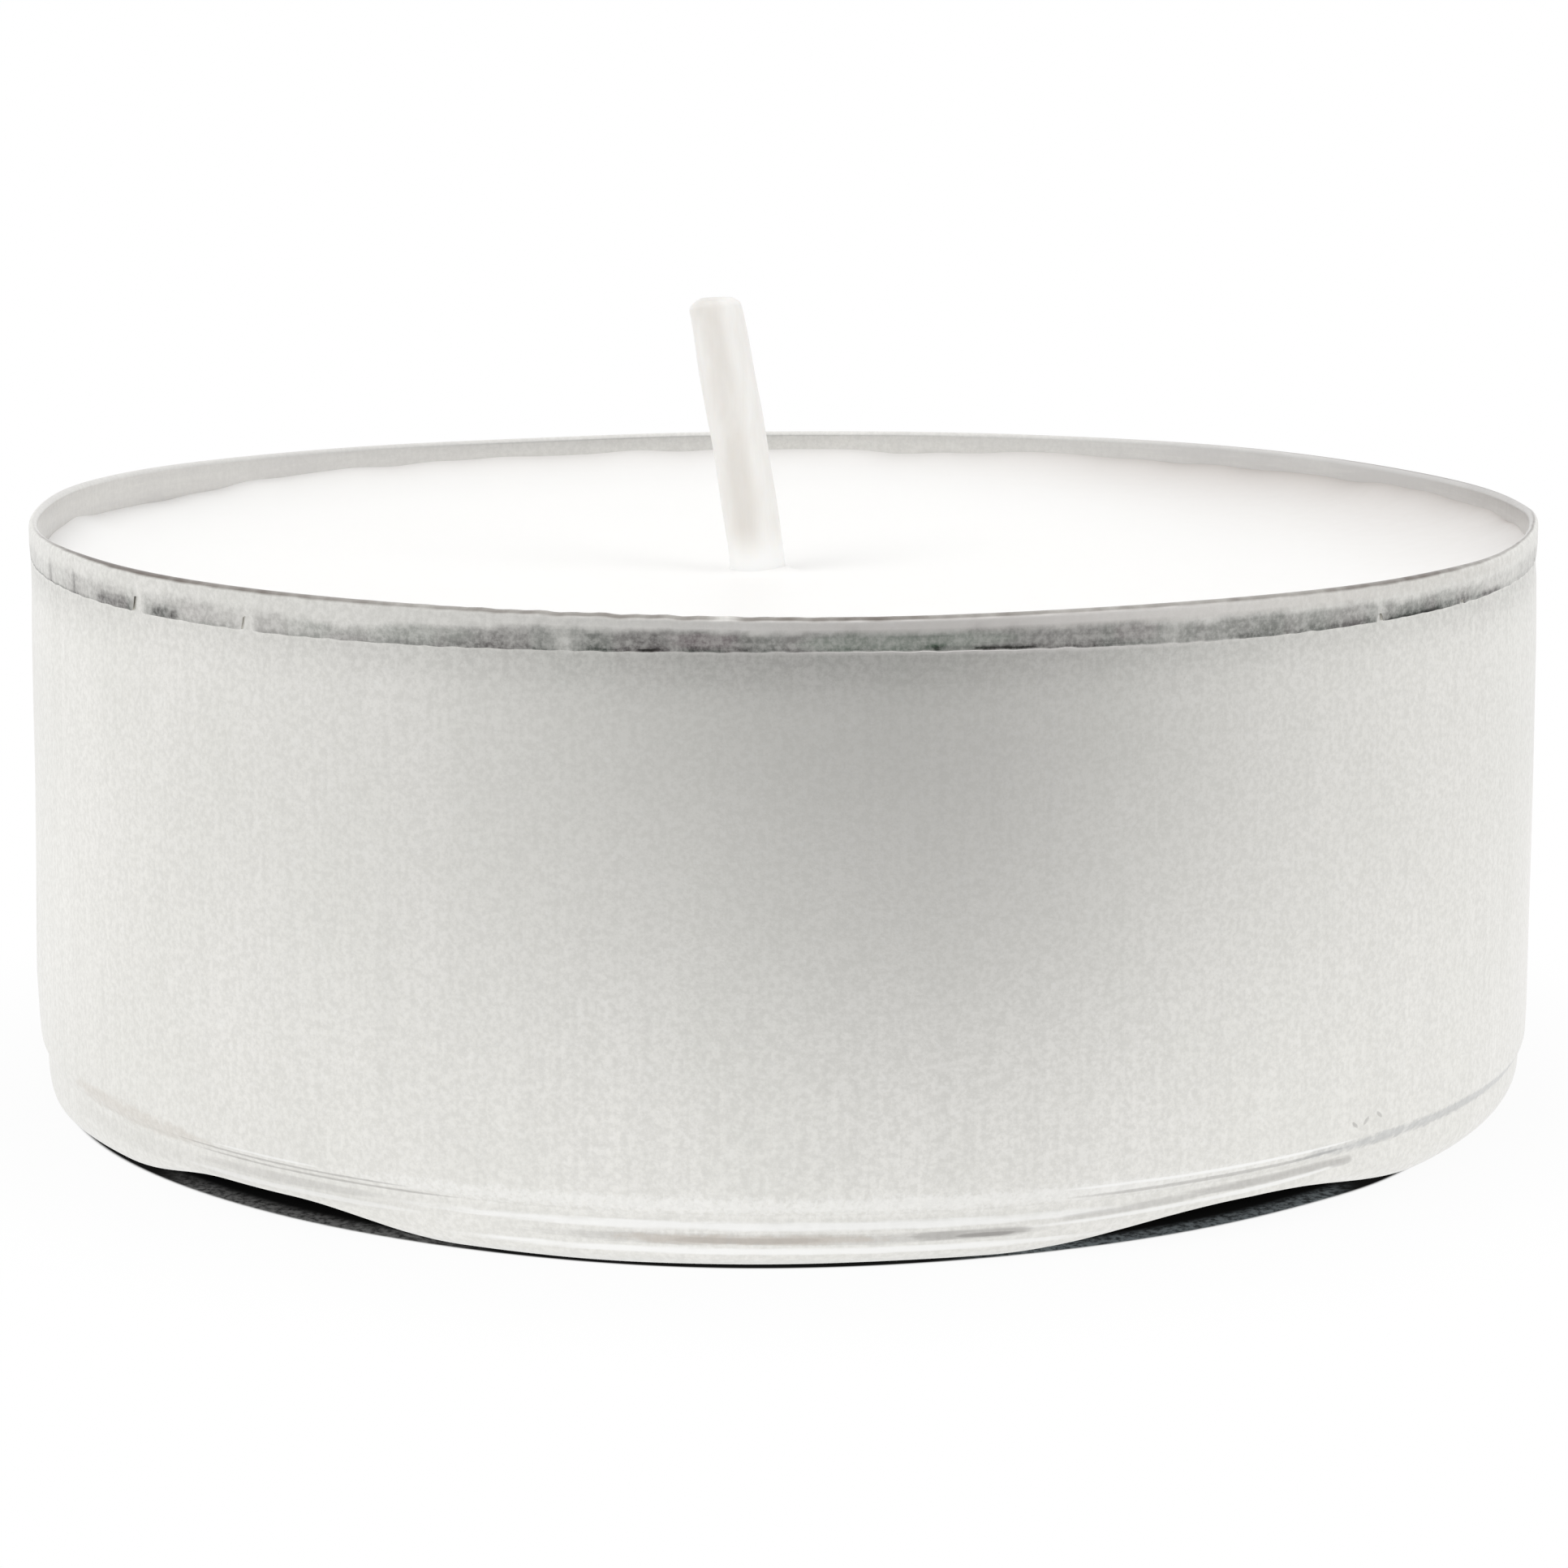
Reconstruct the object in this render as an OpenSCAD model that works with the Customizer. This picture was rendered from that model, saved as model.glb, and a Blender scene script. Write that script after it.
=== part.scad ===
// Tea light candle: a drawn foil cup with a folded rim and a footed base, cast
// full of wax round a leaning wick that stands in a pressed metal tab.
// Millimetres, +Z up. The origin is on the cup's axis in the plane that it
// stands on, and -Y is the front.

/* [Cup] */
// Outside diameter, measured over the folded rim
cup_d = 38; // [36:0.1:60]
// Height from the standing plane to the top of the rim
cup_h = 14.4; // [12:0.1:24]
// Thickness of the foil
foil = 0.12; // [0.08:0.01:0.2]

/* [Folded rim] */
// Height of the fold at its four ears, where it reaches lowest
fold_h = 0.94; // [0.7:0.01:1.4]
// How much shorter the fold is between two ears
ear_h = 0.16; // [0.05:0.01:0.3]
// Gap between the fold and the wall that it is pressed against
fold_gap = 0.03; // [0.02:0.01:0.08]
// How far the fold stands out from the wall below it
fold_proud = 0.03; // [0.01:0.01:0.06]
// Radius of the two bends that take the wall in behind the fold
tuck_r = 0.4; // [0.4:0.05:0.8]

/* [Shoulder and foot] */
// Height of the upright foot under the shoulder, measured from the standing plane
foot_h = 1.2; // [1.2:0.05:3]
// How far the foot is set in from the wall
foot_inset = 0.17; // [0.1:0.01:0.6]
// Outside radius of the bend at the top of the shoulder
shoulder_r = 0.55; // [0.4:0.05:1]
// Radius of the bend between the shoulder and the foot
waist_r = 0.2; // [0.1:0.05:0.5]
// Outside radius of the bend between the foot and the land
heel_r = 0.9; // [0.5:0.05:1.1]
// Width of the flat land that the cup stands on
land_w = 0.8; // [0.5:0.1:3]
// Rise of the base panel over the standing plane
panel_rise = 0.6; // [0.55:0.05:1.1]
// Radius of the two bends between the land and the base panel
panel_r = 0.6; // [0.6:0.05:1.5]

/* [Arches between the feet] */
// Number of feet, with an arch between each two
feet = 5; // [3:1:7]
// Turn of the first foot about the axis, from the front towards the right, in degrees
feet_turn = -2; // [-60:1:60]
// Width of an arch where it meets the standing plane
arch_w = 9.8; // [5:0.1:11]
// Height of an arch over the standing plane
arch_h = 0.5; // [0.2:0.05:0.5]

/* [Wax] */
// Drop from the rim to the wax where the wax meets the wall
wax_drop = 0.65; // [0.4:0.05:4]
// Depth that the shrinking wax dishes to at the wick
dish_h = 0.65; // [0:0.05:1.5]
// Height that the wax climbs at the wall
climb_h = 0.35; // [0.1:0.05:0.8]
// Distance from the wall over which that climb fades
climb_w = 1.1; // [0.5:0.1:3]
// Shrinkage gap between the cast wax and what it was cast against
wax_gap = 0.05; // [0.02:0.01:0.1]

/* [Wick] */
// Diameter of the wax-coated wick
wick_d = 1.36; // [1:0.02:2]
// Length of wick that stands out of the wax
wick_out = 7; // [4:0.1:14]
// Radius of the wick's lean to the left
wick_bend_r = 78; // [60:1:400]
// Bevel round the cut top of the wick
wick_bevel = 0.22; // [0.1:0.02:0.3]

/* [Wick tab] */
// Diameter of the tab's disc
tab_d = 12.5; // [8:0.1:20]
// Thickness of the tab's sheet metal
tab_t = 0.2; // [0.15:0.01:0.3]
// Height of the tab's neck over the base panel
neck_h = 2.5; // [2:0.1:5]
// Radius of the bend at the root of the neck
neck_root_r = 0.4; // [0.2:0.05:1]
// Gap all round the wick in the neck
wick_gap = 0.03; // [0.02:0.01:0.08]

/* [Hidden] */

$fn = 180;
bend_steps = 6;
cut_over = 1;
right_angle = 90;
front_angle = 270;

// Radii of the cup's outside, from the rim inwards
rim_r = cup_d / 2;
wall_r = rim_r - fold_proud;
tucked_r = rim_r - foil - fold_gap;
foot_r = wall_r - foot_inset;
land_outer_r = foot_r - heel_r;
land_inner_r = land_outer_r - land_w;

// Two equal and opposite bends that step a wall over turn by this angle
function jog_turn(step, bend_sum) = acos(1 - step / bend_sum);
shoulder_turn = jog_turn(foot_inset, shoulder_r + waist_r);
tuck_turn = jog_turn(wall_r - tucked_r, 2 * tuck_r);
panel_turn = jog_turn(panel_rise, 2 * panel_r);
panel_edge_r = land_inner_r - 2 * panel_r * sin(panel_turn);

// Heights of the bend centres in the wall
shoulder_z = foot_h + (shoulder_r + waist_r) * sin(shoulder_turn);
fold_low_z = cup_h - fold_h;
tuck_top_z = fold_low_z - foil / 2;
tuck_low_z = tuck_top_z - 2 * tuck_r * sin(tuck_turn);

// The rim is folded over this radius. Its lower edge waves between four ears.
fold_r = foil + fold_gap / 2;
fold_z = cup_h - fold_r;
ear_reach = rim_r * sin(45);
ear_steps = 11;

// An arch is one wave, so that it runs out into the feet. The wave starts a
// little below the land, which it then meets at a clear angle.
arch_sink = 0.05;
arch_rise = arch_h + arch_sink;
arch_reach = arch_w / 2 * 180 / acos(2 * arch_sink / arch_rise - 1);
arch_steps = 7;
arch_run = land_w + heel_r + 2 * panel_r;

// Wax, wick and tab
floor_z = panel_rise + foil;
wax_edge_z = cup_h - wax_drop;
wax_wall_r = tucked_r - foil - wax_gap;
wax_low_z = wax_edge_z - climb_h - dish_h;
wax_steps = 28;
neck_bore_r = wick_d / 2 + wick_gap;
neck_outer_r = neck_bore_r + tab_t;
neck_top_z = floor_z + neck_h;
wick_foot_z = floor_z + tab_t / 2;
wick_hidden_turn = asin((wax_low_z - neck_top_z) / wick_bend_r);
wick_turn = wick_hidden_turn + wick_out / wick_bend_r * 180 / PI;
wick_reach = 2 * (wax_low_z + wick_out);

// Points along a bend of radius r about centre c, from angle a to angle b. A
// bend that runs on from another starts at its second point.
function bend(c, r, a, b, first = 0) =
    [for (i = [first : bend_steps]) let (t = a + (b - a) * i / bend_steps) c + r * [cos(t), sin(t)]];

// Half outline of the cup's outside up to height top, drawn in by inset all over
function cup_outline(inset, top) = concat(
    [[0, panel_rise + inset]],
    bend([panel_edge_r, panel_rise - panel_r], panel_r + inset, right_angle, right_angle - panel_turn),
    bend([land_inner_r, panel_r], panel_r - inset, 270 - panel_turn, 270, 1),
    bend([land_outer_r, heel_r], heel_r - inset, 270, 360),
    bend([foot_r + waist_r, foot_h], waist_r + inset, 180, 180 - shoulder_turn),
    bend([wall_r - shoulder_r, shoulder_z], shoulder_r - inset, -shoulder_turn, 0, 1),
    bend([wall_r - tuck_r, tuck_low_z], tuck_r - inset, 0, tuck_turn),
    bend([tucked_r + tuck_r, tuck_top_z], tuck_r + inset, 180 + tuck_turn, 180, 1),
    [[tucked_r - inset, top], [0, top]]
);

// Height of the wax at radius r: a shallow dish that climbs at the wall
function wax_z(r) =
    wax_low_z + dish_h * pow(r / wax_wall_r, 2) + climb_h * exp((r - wax_wall_r) / climb_w);

// Half outline of the tab's upper side, grown by grow all over and closed to the axis
function tab_outline(grow) = concat(
    [[0, floor_z - cut_over], [tab_d / 2 + grow, floor_z - cut_over]],
    [[tab_d / 2 + grow, floor_z + tab_t + grow]],
    bend([neck_outer_r + neck_root_r, floor_z + tab_t + neck_root_r], neck_root_r - grow, 270, 180),
    [[neck_outer_r + grow, neck_top_z + grow], [0, neck_top_z + grow]]
);

// Section of the air under a wave of height rise that reaches reach to each side,
// with its foot at height base
module wave_section(reach, base, rise, steps) {
    polygon(concat(
        [for (i = [-steps : steps]) let (t = i / steps) [reach * t, base + rise * (1 + cos(180 * t)) / 2]],
        [[reach, base - cut_over], [-reach, base - cut_over]]
    ));
}

// The air under every arch, lifted by lift
module arch_air(lift) {
    for (i = [0 : feet - 1])
        rotate(front_angle + feet_turn + (i + 1 / 2) * 360 / feet)
            translate([land_inner_r - 2 * panel_r, 0, lift])
                rotate([right_angle, 0, right_angle])
                    linear_extrude(arch_run + cut_over)
                        wave_section(arch_reach, -arch_sink, arch_rise, arch_steps);
}

// Solid of the cup's outside, drawn in by inset all over, up to height top
module cup_form(inset, top) {
    difference() {
        rotate_extrude()
            polygon(cup_outline(inset, top));
        arch_air(inset);
    }
}

// The rim: over a half ring and down outside the wall
module rim_fold() {
    rotate_extrude() {
        translate([rim_r - fold_r, fold_z])
            intersection() {
                difference() {
                    circle(r = fold_r, $fn = 32);
                    circle(r = fold_gap / 2, $fn = 32);
                }
                translate([-fold_r, 0])
                    square([2 * fold_r, fold_r]);
            }
        translate([rim_r - foil, fold_low_z])
            square([foil, fold_z - fold_low_z]);
    }
}

// What the waved edge of the fold leaves open between its ears
module ear_gaps() {
    for (turn = [0, right_angle])
        rotate([right_angle, 0, turn])
            linear_extrude(cup_d + 2 * cut_over, center = true)
                wave_section(ear_reach, fold_low_z, ear_h, ear_steps);
}

// Wick with its skin grown by grow: upright in the neck, then leaning to the left.
// A cone that widens downwards from its cut top trims the bevel.
module wick_form(grow) {
    skin_r = wick_d / 2 + grow;
    intersection() {
        union() {
            translate([0, 0, wick_foot_z - grow])
                cylinder(r = skin_r, h = neck_top_z - wick_foot_z + grow, $fn = 48);
            translate([-wick_bend_r, 0, neck_top_z])
                rotate([right_angle, 0, 0])
                    rotate_extrude(angle = wick_turn, $fn = 720)
                        translate([wick_bend_r, 0])
                            circle(r = skin_r, $fn = 48);
        }
        translate([-wick_bend_r, 0, neck_top_z])
            rotate([right_angle, 0, 0])
                rotate(wick_turn)
                    translate([wick_bend_r, 0, 0])
                        rotate([right_angle, 0, 0])
                            cylinder(r1 = skin_r - wick_bevel, r2 = skin_r - wick_bevel + wick_reach, h = wick_reach);
    }
}

module cup() {
    color([0.86, 0.87, 0.87]) {
        difference() {
            cup_form(0, fold_z);
            cup_form(foil, fold_z + cut_over);
        }
        difference() {
            rim_fold();
            ear_gaps();
        }
    }
}

module wax() {
    color([0.97, 0.97, 0.96])
        difference() {
            intersection() {
                cup_form(foil + wax_gap, cup_h);
                rotate_extrude()
                    polygon(concat(
                        [[0, 0]],
                        [for (i = [0 : wax_steps]) let (r = wall_r * i / wax_steps) [r, wax_z(r)]],
                        [[wall_r, 0]]
                    ));
            }
            wick_form(wax_gap);
            rotate_extrude()
                polygon(tab_outline(wax_gap));
        }
}

module wick() {
    color([0.94, 0.93, 0.9])
        wick_form(0);
}

module wick_tab() {
    color([0.72, 0.73, 0.74])
        difference() {
            intersection() {
                rotate_extrude()
                    polygon(tab_outline(0));
                translate([0, 0, floor_z])
                    cylinder(d = tab_d, h = neck_h);
            }
            rotate_extrude()
                polygon(concat(
                    [[0, floor_z - cut_over]],
                    [[neck_outer_r + neck_root_r, floor_z - cut_over]],
                    bend(
                        [neck_outer_r + neck_root_r, floor_z + tab_t + neck_root_r],
                        neck_root_r + tab_t, 270, 180
                    ),
                    [[neck_bore_r, neck_top_z + cut_over], [0, neck_top_z + cut_over]]
                ));
        }
}

cup();
wax();
wick();
wick_tab();
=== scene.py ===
"""Looks of a tea light candle: a drawn foil cup with a folded rim, white wax and a waxed wick."""
import math
import bpy
import numpy as np
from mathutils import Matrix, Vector


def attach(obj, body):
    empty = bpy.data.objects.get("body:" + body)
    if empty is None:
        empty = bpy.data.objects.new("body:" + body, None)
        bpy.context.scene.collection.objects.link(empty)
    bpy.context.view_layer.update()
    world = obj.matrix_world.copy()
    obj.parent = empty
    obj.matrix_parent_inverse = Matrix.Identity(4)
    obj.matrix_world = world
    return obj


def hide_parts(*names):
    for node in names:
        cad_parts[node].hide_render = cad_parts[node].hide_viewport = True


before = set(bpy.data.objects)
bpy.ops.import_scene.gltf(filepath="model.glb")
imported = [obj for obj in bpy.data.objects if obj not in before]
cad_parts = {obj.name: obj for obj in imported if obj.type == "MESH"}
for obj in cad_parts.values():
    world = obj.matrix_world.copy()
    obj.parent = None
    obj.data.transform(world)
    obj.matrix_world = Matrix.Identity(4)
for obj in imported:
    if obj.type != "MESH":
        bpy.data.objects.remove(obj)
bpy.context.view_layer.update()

MM = 0.001
ROOT = "root"

# Cup, in millimetres and degrees, as the part's source has it
RIM_R = 19.0
WALL_R = 18.97
TUCKED_R = 18.85
FOOT_R = 18.8
FOIL = 0.12
HEEL_R = 0.9
WALL_TUCK = 0.05
LAND_OUTER_R = 17.9
LAND_INNER_R = 17.1
PANEL_EDGE_R = 16.061
PANEL_RISE = 0.6
PANEL_R = 0.6
PANEL_TURN = 60.0
FOOT_H = 1.2
WAIST_R = 0.2
SHOULDER_R = 0.55
SHOULDER_Z = 1.6755
SHOULDER_TURN = 39.35
TUCK_R = 0.4
TUCK_LOW_Z = 12.979
TUCK_TOP_Z = 13.4
TUCK_TURN = 31.79
FOLD_Z = 14.265
FOLD_R = 0.135
FOLD_EAR_Z = 13.46
EAR_H = 0.16
EAR_REACH = 13.435

# Azimuths run from the front (-Y) towards +X, in degrees.
# Arches between the feet: azimuth, half width, rise and flat share of the top
ARCHES = (
    (34.7, 6.34, 0.60, 0.05), (106.0, 5.9, 0.52, 0.10), (178.0, 6.1, 0.55, 0.08), (-110.0, 5.8, 0.50, 0.12),
    (-40.1, 5.33, 0.455, 0.19),
)
# Nicks in the fold's lower edge: azimuth, half width, height
NICKS = (
    (-50.87, 0.55, 0.34), (-38.7, 0.50, 0.30), (44.9, 0.32, 0.18), (55.6, 0.3, 0.10), (76.0, 0.4, 0.12),
    (101.0, 0.45, 0.28), (137.0, 0.5, 0.12), (171.0, 0.5, 0.26), (-152.0, 0.45, 0.24), (-118.0, 0.4, 0.15),
    (-84.0, 0.4, 0.12),
)
# Lighter spots in the fold's dark patches and painted shade, some at the nicks: azimuth, half width, how much lighter
LIGHTER_SPOTS = (
    (-50.6, 0.65, 0.9), (-38.7, 0.7, 0.8), (-14.2, 0.75, 0.6), (-6.9, 0.5, 0.3), (11.3, 0.35, 0.25), (26.3, 0.5, 0.45),
    (44.9, 0.5, 0.7), (101.0, 0.7, 0.8), (171.0, 0.7, 0.8), (-152.0, 0.7, 0.8), (-118.0, 0.6, 0.8),
)
# Upright creases in the fold: azimuth, half width, depth
CREASES = (
    (-66.8, 0.3, 0.022), (-61.0, 0.35, 0.030), (-57.6, 0.3, 0.016), (-31.0, 0.4, 0.006), (8.0, 0.4, 0.006),
    (29.0, 0.5, 0.008), (62.0, 0.5, 0.014), (88.0, 0.4, 0.020), (123.0, 0.4, 0.022), (155.0, 0.4, 0.016),
    (-170.0, 0.4, 0.02), (-137.0, 0.4, 0.02), (-101.0, 0.4, 0.018),
)
# Dark patches low on the fold, partly scuffs and partly painted dark reflection: first and last azimuth, share of the
# fold's height that they reach, darkness
DARK_PATCHES = (
    (-57.0, -51.2, 0.42, 0.78), (-49.3, -45.4, 0.36, 0.84), (-44.5, -39.4, 0.10, 0.50), (-38.0, -32.0, 0.09, 0.50),
    (-26.0, -20.5, 0.16, 0.52), (-13.2, -9.9, 0.16, 0.88), (-9.9, -7.6, 0.16, 1.0), (-5.6, -4.2, 0.30, 0.90),
    (2.0, 6.5, 0.16, 0.70), (9.0, 10.6, 0.34, 0.97), (11.8, 17.0, 0.20, 0.98), (16.6, 22.0, 0.12, 0.92),
    (30.8, 34.4, 0.20, 0.76), (36.4, 39.2, 0.12, 0.66), (46.0, 57.0, 0.28, 0.74), (57.5, 63.0, 0.16, 0.80),
    (84.0, 96.0, 0.12, 0.60), (112.0, 118.0, 0.2, 0.65), (143.0, 151.0, 0.12, 0.7), (-176.0, -166.0, 0.16, 0.6),
    (-131.0, -122.0, 0.2, 0.65), (-97.0, -90.0, 0.12, 0.6),
)

# Wax and wick, in millimetres
WAX_LOW_Z = 12.72
DISH_H = 0.65
CLIMB_H = 0.42
CLIMB_W = 0.9
WAX_WALL_R = 18.68
WICK_R = 0.68
WICK_BEND_R = 78.0
WICK_TURN = 12.16
WICK_FOOT_Z = 0.82
WICK_ROOT_Z = 3.22

# Angles round the cup: even steps from the back, and finer ones at the nicks
FINE_REACH = 1.4
FINE_STEPS = 15
azimuth = np.arange(-180.0, 180.0, 0.5)
for nick in NICKS:
    azimuth = azimuth[np.abs(azimuth - nick[0]) > FINE_REACH]
    azimuth = np.concatenate([azimuth, nick[0] + np.linspace(-FINE_REACH, FINE_REACH, FINE_STEPS)])
azimuth = np.sort(azimuth)
theta = np.radians(azimuth - 90.0)
ANGLES = len(theta)


def mixed_waves(angle, counts, seed):
    """A smooth random wave round the circle, built from whole numbers of waves, with a spread near 1."""
    draw = np.random.default_rng(seed)
    total = np.zeros_like(angle)
    for count in counts:
        total += draw.normal() * np.cos(count * angle + draw.uniform(0, 2 * math.pi))
    return total * math.sqrt(2.0 / len(counts))


def turned(angle, centre):
    """Angles from a centre, in degrees between -180 and 180."""
    return (angle - centre + 180.0) % 360.0 - 180.0


def bell(angle, centre, width):
    return np.exp(-((turned(angle, centre) / width) ** 2))


def smooth(value, low, high):
    t = np.clip((value - low) / (high - low), 0.0, 1.0)
    return t * t * (3.0 - 2.0 * t)


def bend(centre, radius, start, end, steps, first=0):
    """Points on an arc between two angles in degrees."""
    turns = np.radians(np.linspace(start, end, steps + 1)[first:])
    return [(centre[0] + radius * math.cos(t), centre[1] + radius * math.sin(t)) for t in turns]


def revolved(name, rings, first_pole, last_pole):
    """A closed mesh from rings of points with outward faces, closed by a point at each end."""
    count, around = rings.shape[0], rings.shape[1]
    points = np.concatenate([[first_pole], rings.reshape(-1, 3), [last_pole]]) * MM
    step = np.arange(around)
    ahead = (step + 1) % around
    faces = [(0, 1 + b, 1 + a) for a, b in zip(step, ahead)]
    for ring in range(count - 1):
        low = 1 + ring * around
        high = low + around
        faces += [(low + a, low + b, high + b, high + a) for a, b in zip(step, ahead)]
    last = 1 + (count - 1) * around
    end = len(points) - 1
    faces += [(last + a, last + b, end) for a, b in zip(step, ahead)]
    mesh = bpy.data.meshes.new(name)
    mesh.from_pydata(points.tolist(), [], faces)
    mesh.update()
    mesh.shade_smooth()
    piece = bpy.data.objects.new(name, mesh)
    bpy.context.scene.collection.objects.link(piece)
    return piece


def paint(piece, name, values, first=0.0, last=0.0):
    """Stores one number a point for the material to read."""
    layer = piece.data.attributes.new(name, "FLOAT", "POINT")
    flat = np.concatenate([[first], np.asarray(values, dtype=float).ravel(), [last]])
    layer.data.foreach_set("value", flat.astype(np.float32))


def arch_height(r):
    """How high the underside is lifted at radius r, at every angle, by the arches between the feet."""
    lift = np.zeros(ANGLES)
    for centre, reach, rise, flat in ARCHES:
        turn = np.radians(turned(azimuth, centre))
        across = np.abs(r * np.sin(turn)) / reach
        across[np.abs(turn) > math.pi / 2] = 1.0
        wave = (1.0 + np.cos(math.pi * np.clip((across - flat) / (1.0 - flat), 0.0, 1.0))) / 2.0
        lift = np.maximum(lift, rise * wave)
    return lift * (0.82 + 0.18 * smooth(r, LAND_INNER_R, LAND_OUTER_R))


def rim_lift():
    """How far the rim stands above or below its mean height, at every angle: the cup is a little out of true."""
    lift = 0.15 * bell(azimuth, -106.0, 20.0) - 0.08 * bell(azimuth, -158.0, 16.0) - 0.03 * bell(azimuth, 178.0, 10.0)
    lift = lift + 0.06 * bell(azimuth, 136.0, 18.0) + 0.045 * bell(azimuth, 98.0, 14.0)
    lift = lift + 0.09 * bell(azimuth, 83.0, 6.0) + 0.04 * bell(azimuth, -97.0, 8.0)
    lift = lift - 0.05 * bell(azimuth, 62.0, 7.0) + 0.04 * bell(azimuth, -62.0, 9.0)
    lift = lift + 0.010 * bell(azimuth, -11.0, 12.0) * mixed_waves(theta, (89, 127, 173), 41)
    return lift - 0.04 * bell(azimuth, 4.0, 12.0) - 0.05 * bell(azimuth, 48.0, 14.0)


def out_of_round(z):
    """How far the wall stands out at height z, at every angle: both sides are a little bowed."""
    heights = (1.9, 2.4, 3.5, 5.5, 7.5, 9.6, 11.6, 12.9, 13.3)
    left = np.interp(z, heights, (0.0, 0.07, 0.075, 0.03, -0.02, -0.02, -0.035, -0.02, 0.0))
    right = np.interp(z, heights, (0.0, 0.05, 0.02, 0.04, 0.05, 0.04, 0.03, 0.045, 0.045))
    return left * bell(azimuth, -77.0, 6.5) + right * bell(azimuth, 76.0, 6.5)


def fold_edge():
    """Height of the fold's lower edge at every angle: four ears, a ragged cut and a few nicks."""
    low = np.full(ANGLES, FOLD_EAR_Z)
    for centre in (0.0, 90.0):
        across = np.abs(RIM_R * np.sin(np.radians(azimuth - centre)))
        wave = EAR_H * (1.0 + np.cos(math.pi * np.clip(across / EAR_REACH, 0.0, 1.0))) / 2.0
        low = np.maximum(low, FOLD_EAR_Z + wave)
    low += 0.004 * mixed_waves(theta, (31, 44, 57, 73), 5)
    low += 0.004 * mixed_waves(theta, (113, 151, 187, 229), 6)
    low += 0.006 * mixed_waves(theta, (293, 331, 383, 419), 7)
    for centre, width, height in NICKS:
        low += height * (1.0 - smooth(np.abs(turned(azimuth, centre)), width * 0.7, width * 1.2))
    return np.maximum(low, FOLD_EAR_Z)


def fold_wear(u):
    """Darkness of the fold at share u of its height, 0 at its lower edge, at every angle: painted dark reflection on
    its lower part, strongest at the front, dark patches that are partly scuffs and partly painted reflection, and
    painted shade in its creases, along its lower edge at the left and beside the nicks.
    """
    front = smooth(azimuth, -34.0, -15.0) * (1.0 - smooth(azimuth, 50.0, 64.0))
    level = 0.15 + 0.42 * front + 0.10 * bell(azimuth, -58.0, 7.0) + 0.12 * bell(azimuth, -36.0, 14.0)
    level = level + 0.13 * bell(azimuth, -8.0, 6.0) + 0.10 * bell(azimuth, -31.0, 4.0) + 0.05 * bell(azimuth, 45.0, 6.0)
    level = level - 0.08 * bell(azimuth, 28.0, 5.0) - 0.12 * bell(azimuth, 47.0, 13.0)
    ragged = 0.030 * mixed_waves(theta, (9, 14, 19, 27), 31) + 0.035 * mixed_waves(theta, (61, 83, 107), 32)
    brink = 0.62 + 0.10 * bell(azimuth, -14.0, 16.0) + 0.10 * bell(azimuth, 12.0, 12.0) + 0.03 * bell(azimuth, 36.0, 14.0)
    brink = brink - 0.22 * bell(azimuth, -30.0, 6.0) - 0.12 * bell(azimuth, 51.0, 8.0)
    brink = brink + 0.04 * mixed_waves(theta, (13, 22, 37, 51), 33) + 0.02 * mixed_waves(theta, (97, 139, 163), 35)
    wear = np.clip(level + ragged, 0.08, 0.75) * (1.0 - smooth(u, brink - 0.15, brink + 0.10))
    edge = 0.12 + 0.08 * front + 0.22 * bell(azimuth, 52.0, 12.0) - 0.14 * bell(azimuth, 29.0, 6.0)
    wear = wear + edge * (1.0 - smooth(u, 0.0, 0.3))
    wear = wear + 0.07 * (1.0 - bell(azimuth, 5.0, 30.0))
    # Painted shade along the fold's lower edge at the left
    wear = wear + 0.38 * bell(azimuth, -72.0, 13.0) * (1.0 - smooth(u, 0.02, 0.09))
    # Painted shade in two creases
    for centre in (-66.8, -61.0):
        wear = wear + 0.34 * bell(azimuth, centre, 0.35) * (1.0 - smooth(u, 0.5, 0.8))
    for first, last, reach, dark in DARK_PATCHES:
        middle, half = (first + last) / 2, (last - first) / 2
        inside = 1.0 - smooth(np.abs(turned(azimuth, middle)), half - 0.7, half + 0.4)
        fade = 1.0 - smooth(u, reach * 0.5, reach * 1.4)
        wear = np.maximum(wear, dark * inside * fade)
    for centre, width, lighten in LIGHTER_SPOTS:
        wear = wear * (1.0 - lighten * bell(azimuth, centre, width) * (1.0 - smooth(u, 0.6, 1.0)))
    # Painted shade beside each nick
    for centre, width, height in NICKS:
        beside = bell(azimuth, centre - width * 1.5, 0.2) * (1.0 - smooth(u, 0.35, 0.6))
        wear = np.maximum(wear, 0.15 * beside)
    # No darkness on the lower edge near the front right, under its painted highlight
    lip = bell(azimuth, 12.0, 15.0) * (1.0 - smooth(u, 0.02, 0.05))
    return np.clip(wear, 0.0, 1.0) * (1.0 - lip)


def crest_wear():
    """Strength of the dark line along the outside of the rim, at every angle."""
    level = 0.62 + 0.32 * bell(azimuth, -53.0, 14.0) + 0.14 * bell(azimuth, 2.0, 8.0) + 0.16 * bell(azimuth, 48.0, 9.0)
    level = level - 0.08 * bell(azimuth, 28.0, 6.0)
    level = level + 0.05 * mixed_waves(theta, (17, 29, 41, 67), 36) + 0.04 * mixed_waves(theta, (127, 173, 211), 37)
    level = level * (1.0 - 0.85 * bell(azimuth, -3.7, 0.8)) * (1.0 - 0.9 * smooth(azimuth, 78.0, 92.0))
    level = level * (1.0 - 0.95 * smooth(-azimuth, 66.0, 84.0))
    return np.clip(level, 0.0, 0.9)


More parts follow.
